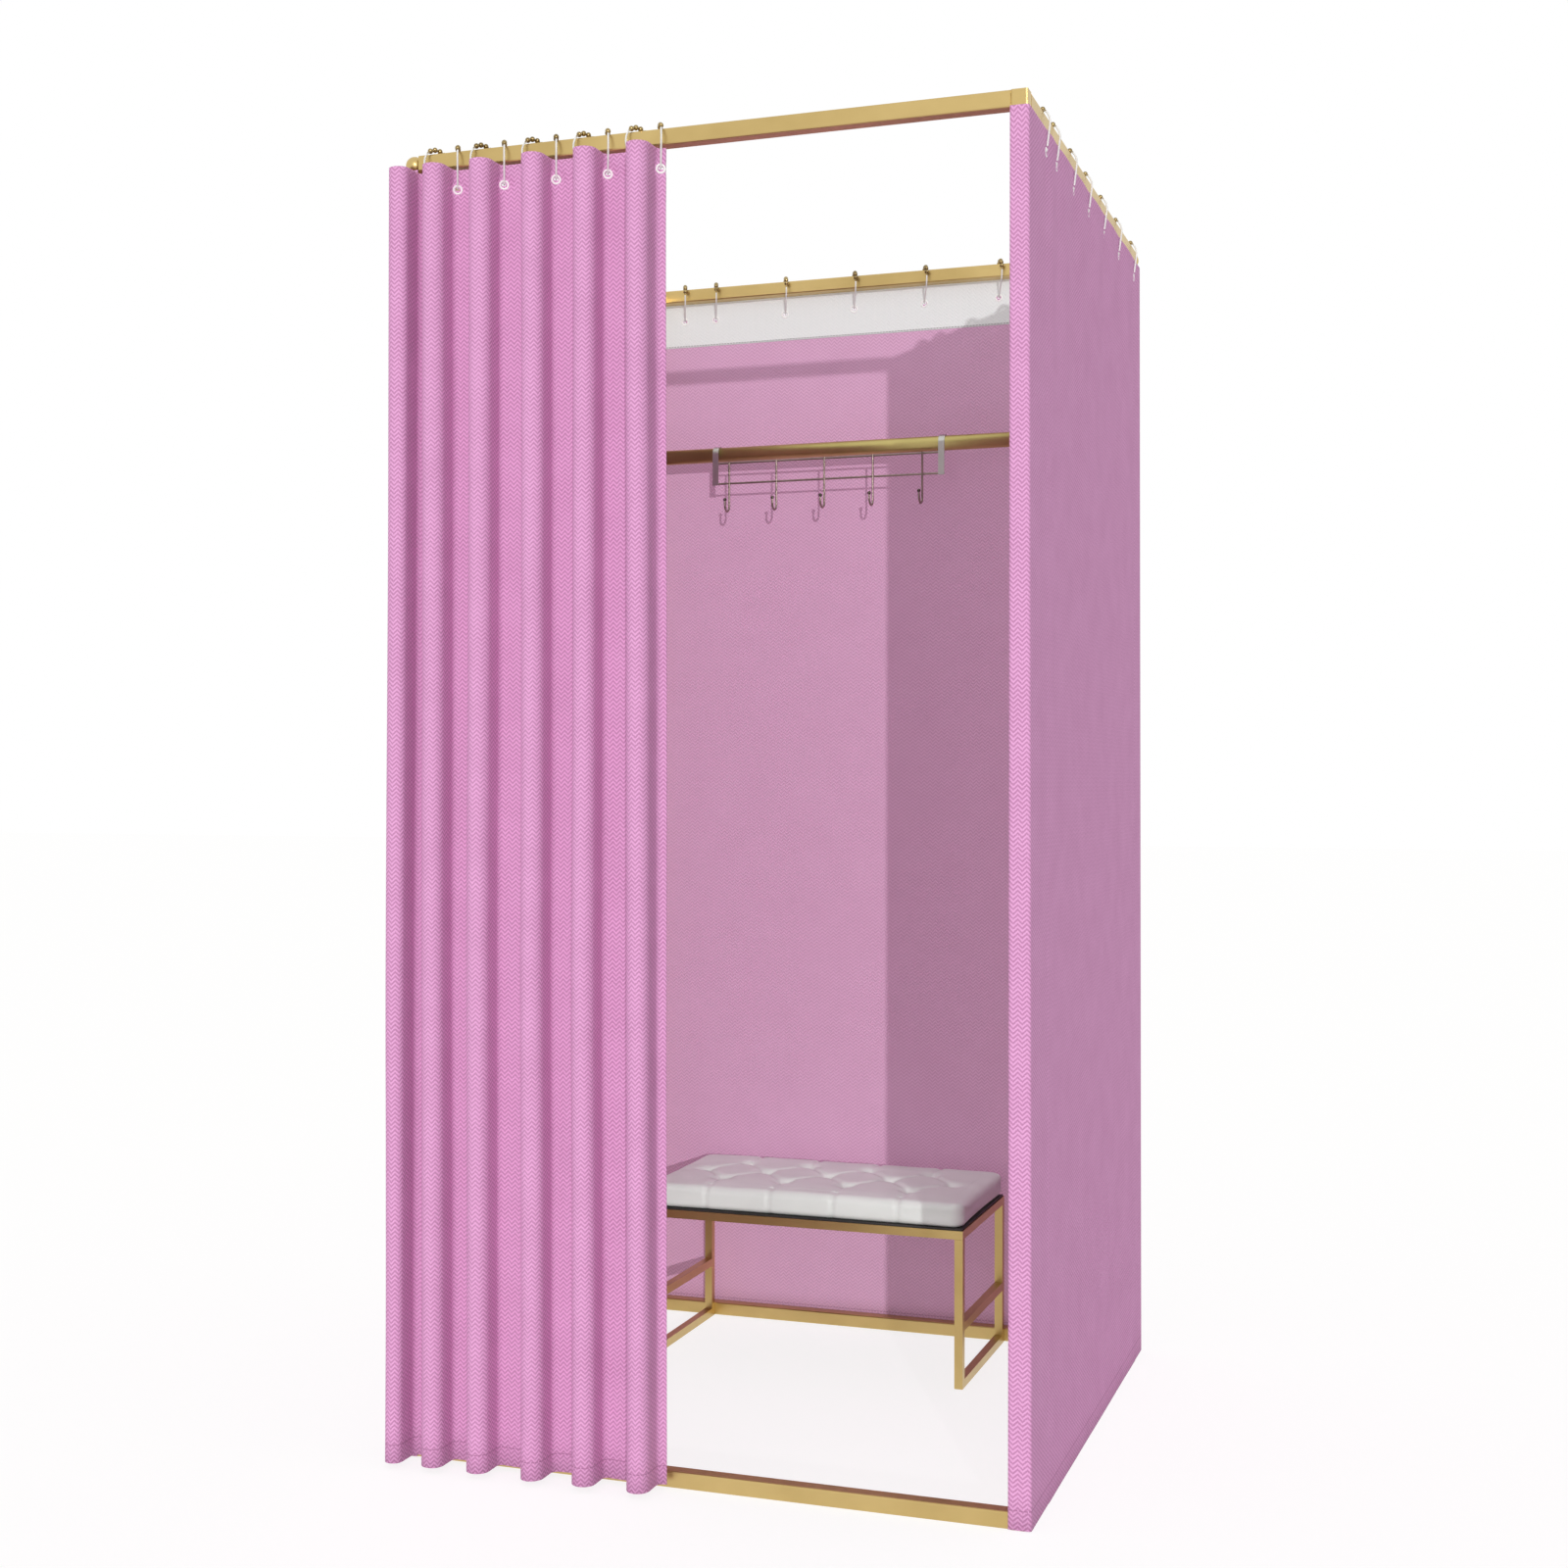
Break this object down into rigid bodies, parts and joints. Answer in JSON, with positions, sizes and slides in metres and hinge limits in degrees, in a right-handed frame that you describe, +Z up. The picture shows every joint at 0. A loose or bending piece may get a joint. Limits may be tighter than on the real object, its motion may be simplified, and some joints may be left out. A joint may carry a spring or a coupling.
{
  "type": "portable fitting room",
  "caption": "Free-standing square-tube changing cubicle with roller-hook curtains on all sides, a garment rail with a hook rack, and a loose upholstered bench.",
  "frame": {"origin": "on the floor, under the centre of the overall outline", "axes": "+X to the right seen from the doorway, +Y from the doorway to the rear, +Z up"},
  "size_m": [1.0194, 1.0523, 2.063],
  "materials": {
    "brass": "polished gold-coloured tube",
    "hook_brass": "brass rollers on pale wire",
    "rail_brass": "darker polished brass",
    "cloth": "woven pink and violet zigzag with a pale top band",
    "steel": "satin silver wire and strap",
    "board": "black stained board",
    "leather": "white, tufted, soft sheen"
  },
  "bodies": {
    "frame": {"post_front_left": "brass", "corner_front_left": "brass", "post_front_right": "brass", "corner_front_right": "brass", "post_rear_left": "brass", "corner_rear_left": "brass", "post_rear_right": "brass", "corner_rear_right": "brass", "rail_top_front": "brass", "rail_top_rear": "brass", "rail_top_left": "brass", "rail_top_right": "brass", "rail_base_front": "brass", "rail_base_rear": "brass", "rail_base_left": "brass", "rail_base_right": "brass", "curtain_front": "cloth", "curtain_left": "cloth", "curtain_right": "cloth", "curtain_rear": "cloth", "hook_front_1": "hook_brass", "hook_rear_1": "hook_brass", "hook_rear_2": "hook_brass", "hook_rear_3": "hook_brass", "hook_rear_4": "hook_brass", "hook_rear_5": "hook_brass", "hook_rear_6": "hook_brass", "hook_rear_7": "hook_brass", "hook_left_1": "hook_brass", "hook_left_2": "hook_brass", "hook_left_3": "hook_brass", "hook_left_4": "hook_brass", "hook_left_5": "hook_brass", "hook_left_6": "hook_brass", "hook_left_7": "hook_brass", "hook_right_1": "hook_brass", "hook_right_2": "hook_brass", "hook_right_3": "hook_brass", "hook_right_4": "hook_brass", "hook_right_5": "hook_brass", "hook_right_6": "hook_brass", "hook_right_7": "hook_brass", "garment_rail": "rail_brass", "rail_bracket_left": "brass", "rail_bracket_right": "brass"},
    "lead_hook": {"hook_front_10": "hook_brass"},
    "follow_hook_2": {"hook_front_2": "hook_brass"},
    "follow_hook_3": {"hook_front_3": "hook_brass"},
    "follow_hook_4": {"hook_front_4": "hook_brass"},
    "follow_hook_5": {"hook_front_5": "hook_brass"},
    "follow_hook_6": {"hook_front_6": "hook_brass"},
    "follow_hook_7": {"hook_front_7": "hook_brass"},
    "follow_hook_8": {"hook_front_8": "hook_brass"},
    "follow_hook_9": {"hook_front_9": "hook_brass"},
    "rack": {"hook_rack": "steel"},
    "bench": {"bench_frame_left": "brass", "bench_frame_right": "brass", "bench_seat_frame": "brass", "bench_board": "board", "bench_cushion": "leather"}
  },
  "joints": [
    {"name": "curtain_draw", "type": "slide", "parent": "frame", "child": "lead_hook", "axis": [1, 0, 0], "range_m": [-0.06, 0.485], "deforming": ["curtain_front"]},
    {"name": "hook_2_draw", "type": "slide", "parent": "frame", "child": "follow_hook_2", "axis": [1, 0, 0], "range_m": [-0.0024, 0.0189]},
    {"name": "hook_3_draw", "type": "slide", "parent": "frame", "child": "follow_hook_3", "axis": [1, 0, 0], "range_m": [-0.0067, 0.054]},
    {"name": "hook_4_draw", "type": "slide", "parent": "frame", "child": "follow_hook_4", "axis": [1, 0, 0], "range_m": [-0.015, 0.1212]},
    {"name": "hook_5_draw", "type": "slide", "parent": "frame", "child": "follow_hook_5", "axis": [1, 0, 0], "range_m": [-0.0242, 0.1956]},
    {"name": "hook_6_draw", "type": "slide", "parent": "frame", "child": "follow_hook_6", "axis": [1, 0, 0], "range_m": [-0.0349, 0.2816]},
    {"name": "hook_7_draw", "type": "slide", "parent": "frame", "child": "follow_hook_7", "axis": [1, 0, 0], "range_m": [-0.0438, 0.3537]},
    {"name": "hook_8_draw", "type": "slide", "parent": "frame", "child": "follow_hook_8", "axis": [1, 0, 0], "range_m": [-0.0524, 0.4234]},
    {"name": "hook_9_draw", "type": "slide", "parent": "frame", "child": "follow_hook_9", "axis": [1, 0, 0], "range_m": [-0.0577, 0.4662]},
    {"name": "rack_slide", "type": "slide", "parent": "frame", "child": "rack", "axis": [1, 0, 0], "range_m": [-0.15, 0.33]},
    {"name": "bench_slide", "type": "slide", "parent": "frame", "child": "bench", "axis": [0, 1, 0], "range_m": [-0.597, 0]}
  ],
  "couplings": [
    {"joint": "hook_2_draw", "follows": "curtain_draw", "ratio": 0.03894},
    {"joint": "hook_3_draw", "follows": "curtain_draw", "ratio": 0.11127},
    {"joint": "hook_4_draw", "follows": "curtain_draw", "ratio": 0.24981},
    {"joint": "hook_5_draw", "follows": "curtain_draw", "ratio": 0.40319},
    {"joint": "hook_6_draw", "follows": "curtain_draw", "ratio": 0.58043},
    {"joint": "hook_7_draw", "follows": "curtain_draw", "ratio": 0.72924},
    {"joint": "hook_8_draw", "follows": "curtain_draw", "ratio": 0.87281},
    {"joint": "hook_9_draw", "follows": "curtain_draw", "ratio": 0.96106}
  ]
}
